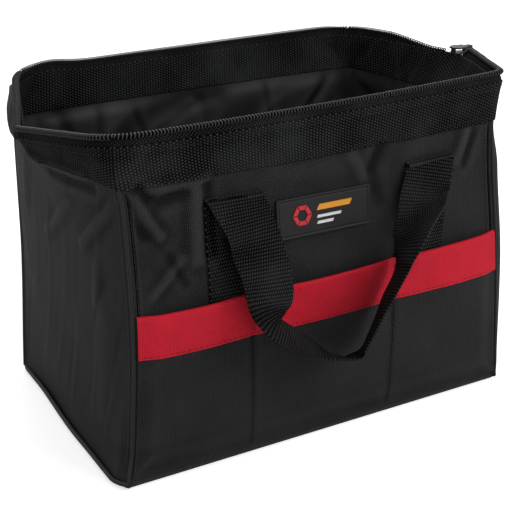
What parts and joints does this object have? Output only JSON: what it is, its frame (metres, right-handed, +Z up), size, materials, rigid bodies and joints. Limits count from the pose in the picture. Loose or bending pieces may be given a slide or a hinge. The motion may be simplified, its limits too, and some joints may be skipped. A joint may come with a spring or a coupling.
{
  "type": "zippered tool bag",
  "caption": "Soft open-mouthed tool bag with a zip round the mouth, outside pockets with a red binding, and two webbing carrying handles.",
  "frame": {"origin": "centre of the rectangle that the bag stands on, at floor level", "axes": "+X along the bag towards the end where the open zip's slider rests, -Y towards the front pockets, +Z up"},
  "size_m": [0.3699, 0.2932, 0.2339],
  "materials": {
    "outer_cloth": "coated cloth, matt",
    "webbing": "ribbed webbing",
    "red_binding": "coated cloth, matt",
    "zip_tape": "woven tape",
    "zip_coil": "gloss",
    "piping": "satin",
    "badge_rubber": "moulded, matt",
    "board": "matt",
    "slider_metal": "black enamel"
  },
  "bodies": {
    "bag": {"bottom_panel": "outer_cloth", "base_board": "board", "piping_bottom_left": "piping", "piping_bottom_right": "piping", "left_end_panel": "outer_cloth", "right_end_panel": "outer_cloth", "left_mouth_band": "webbing", "right_mouth_band": "webbing", "left_mouth_facing": "webbing", "right_mouth_facing": "webbing", "left_zip_tape": "zip_tape", "right_zip_tape": "zip_tape", "left_zip_coil": "zip_coil", "right_zip_coil_front": "zip_coil", "right_zip_coil_back": "zip_coil", "left_zip_tail": "outer_cloth", "right_zip_tail": "outer_cloth"},
    "front_wall": {"front_panel": "outer_cloth", "front_mouth_band": "webbing", "front_mouth_facing": "webbing", "front_zip_tape": "zip_tape", "front_zip_coil": "zip_coil", "front_pocket_panel": "outer_cloth", "front_pocket_binding": "red_binding", "front_strap_left": "webbing", "front_strap_right": "webbing", "badge": "badge_rubber", "piping_front_left": "piping", "piping_front_right": "piping"},
    "front_handle": {"front_handle": "webbing"},
    "back_wall": {"back_panel": "outer_cloth", "back_mouth_band": "webbing", "back_mouth_facing": "webbing", "back_zip_tape": "zip_tape", "back_zip_coil": "zip_coil", "back_pocket_panel": "outer_cloth", "back_pocket_binding": "red_binding", "back_strap_left": "webbing", "back_strap_right": "webbing", "piping_back_left": "piping", "piping_back_right": "piping"},
    "back_handle": {"back_handle": "webbing"},
    "slider": {"zip_slider": "slider_metal"},
    "puller": {"zip_pull": "slider_metal"}
  },
  "joints": [
    {"name": "front_wall_lean", "type": "hinge", "parent": "bag", "child": "front_wall", "pos_m": [0, -0.0948, 0.00735], "axis": [-1, 0, 0], "range_deg": [0, 22.5], "deforming": ["left_end_panel", "right_end_panel", "left_mouth_band", "right_mouth_band", "left_mouth_facing", "right_mouth_facing", "left_zip_tape", "right_zip_tape", "left_zip_coil", "right_zip_coil_front", "right_zip_coil_back", "left_zip_tail", "right_zip_tail"]},
    {"name": "back_wall_lean", "type": "hinge", "parent": "bag", "child": "back_wall", "pos_m": [0, 0.0948, 0.00735], "axis": [1, 0, 0], "range_deg": [0, 25], "deforming": ["left_end_panel", "right_end_panel", "left_mouth_band", "right_mouth_band", "left_mouth_facing", "right_mouth_facing", "left_zip_tape", "right_zip_tape", "left_zip_coil", "right_zip_coil_front", "right_zip_coil_back", "left_zip_tail", "right_zip_tail"]},
    {"name": "zip_travel", "type": "slide", "parent": "bag", "child": "slider", "axis": [-0.999, -0.0285, -0.0346], "range_m": [0, 0.35], "deforming": ["left_end_panel", "right_end_panel", "left_mouth_band", "right_mouth_band", "left_mouth_facing", "right_mouth_facing", "left_zip_tape", "right_zip_tape", "left_zip_coil", "right_zip_coil_front", "right_zip_coil_back", "left_zip_tail", "right_zip_tail"]},
    {"name": "zip_pull_swing", "type": "hinge", "parent": "slider", "child": "puller", "pos_m": [0.1893, 0.007, 0.22581], "axis": [0, -1, 0], "range_deg": [0, 170]},
    {"name": "front_handle_swing", "type": "hinge", "parent": "front_wall", "child": "front_handle", "pos_m": [0, -0.09924, 0.18093], "axis": [-1, 0, 0], "range_deg": [0, 120]},
    {"name": "back_handle_swing", "type": "hinge", "parent": "back_wall", "child": "back_handle", "pos_m": [0, 0.10643, 0.18046], "axis": [1, 0, 0], "range_deg": [0, 120]}
  ],
  "couplings": [
    {"joint": "back_wall_lean", "follows": "front_wall_lean", "ratio": 1.1111},
    {"joint": "zip_travel", "follows": "front_wall_lean", "m_per_rad": 0.8912}
  ]
}
